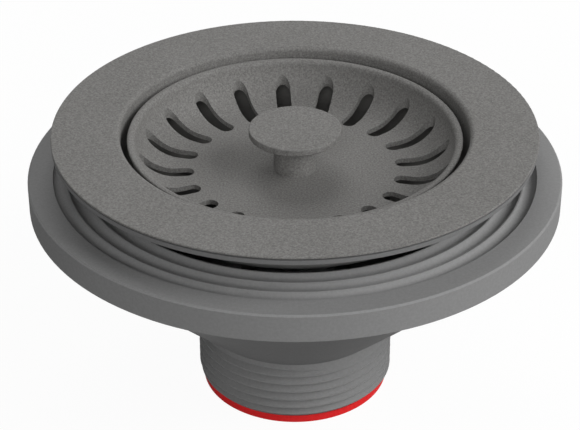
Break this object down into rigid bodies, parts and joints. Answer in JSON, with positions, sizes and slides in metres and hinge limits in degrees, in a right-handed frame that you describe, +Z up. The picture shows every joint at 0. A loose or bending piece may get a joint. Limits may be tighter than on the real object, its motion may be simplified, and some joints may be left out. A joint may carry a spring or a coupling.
{
  "type": "basket strainer waste",
  "caption": "Round sink waste with a flanged cup, a lift-out slotted basket with a knob, and a conical lower body with a threaded outlet that a screw clamps up under the sink.",
  "frame": {"origin": "on the axis, in the plane where the flange seal lies on the sink", "axes": "+Z up along the axis, out of the sink's drain towards the basket's knob"},
  "size_m": [0.126, 0.126, 0.0694],
  "materials": {
    "coated_metal": "satin",
    "coated_plastic": "satin",
    "seal_grey": "matte",
    "gasket_grey": "matte",
    "body_plastic": "matte",
    "dark_rubber": "matte",
    "washer_plastic": "matte",
    "steel": "satin",
    "brass": "satin",
    "red_rubber": "matte"
  },
  "bodies": {
    "rosette": {"rosette": "coated_metal", "rosette_seal": "gasket_grey", "screw_washer": "washer_plastic"},
    "basket": {"strainer_basket": "coated_plastic", "basket_knob": "coated_plastic", "stopper_seal": "dark_rubber", "seal_plate": "steel", "catch_stem": "steel", "catch_ring": "dark_rubber"},
    "screw": {"clamp_screw": "steel"},
    "waste": {"waste_body": "body_plastic", "hub_bridge": "body_plastic", "body_seal": "seal_grey", "insert_nut": "brass", "outlet_gasket": "red_rubber"}
  },
  "joints": [
    {"name": "basket_lift", "type": "slide", "parent": "rosette", "child": "basket", "axis": [0, 0, 1], "range_m": [0, 0.03]},
    {"name": "clamp_turn", "type": "hinge", "parent": "rosette", "child": "screw", "pos_m": [0, 0, -0.0232], "axis": [0, 0, -1], "range_deg": [-1155, 2077]},
    {"name": "body_slide", "type": "slide", "parent": "rosette", "child": "waste", "axis": [0, 0, 1], "range_m": [-0.004, 0.0072]}
  ],
  "couplings": [
    {"joint": "clamp_turn", "follows": "body_slide", "rad_per_m": 5026.5}
  ]
}
